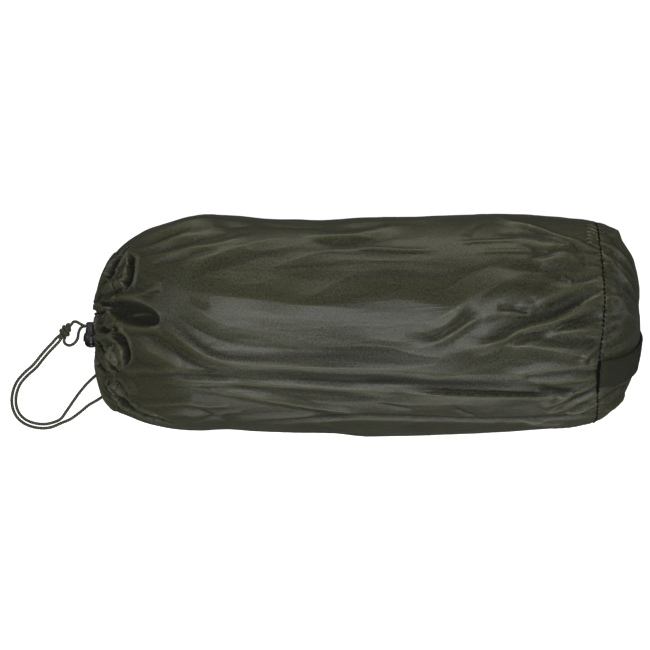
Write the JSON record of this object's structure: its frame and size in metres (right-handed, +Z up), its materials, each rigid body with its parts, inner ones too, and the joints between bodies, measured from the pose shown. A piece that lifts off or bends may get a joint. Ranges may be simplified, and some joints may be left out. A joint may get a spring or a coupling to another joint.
{
  "type": "drawstring stuff sack with packed net",
  "caption": "Full cloth stuff sack lying on its side, mouth drawn shut by a cord with a lock and a knot, webbing strap across its round bottom.",
  "frame": {"origin": "middle of the underside of the sack's box, without its free cord and what is on the cord", "axes": "+X along the sack from its drawn mouth to its sewn bottom, +Z up from the surface it lies on"},
  "size_m": [0.5548, 0.1933, 0.1707],
  "materials": {
    "cloth": "plain-woven olive nylon with a soft sheen",
    "webbing": "olive twill webbing",
    "net": "matt reddish-brown net cloth",
    "cord": "round braided cord, olive with dark strands",
    "lock_barrel": "satin dark grey moulding",
    "lock_button": "satin black moulding"
  },
  "bodies": {
    "sack": {"sack_body": "cloth", "end_panel": "cloth", "grab_strap": "webbing", "net_peek": "net", "cord_loop_a": "cord", "cord_loop_b": "cord", "cord_tail_a": "cord", "cord_tail_b": "cord", "cord_knot": "cord", "lock_barrel": "lock_barrel"},
    "button": {"lock_button": "lock_button"}
  },
  "joints": [
    {"name": "lock_press", "type": "slide", "parent": "sack", "child": "button", "axis": [0, 1, 0], "range_m": [0, 0.003], "stiffness_N_per_m": 600, "springref_m": -0.003}
  ]
}
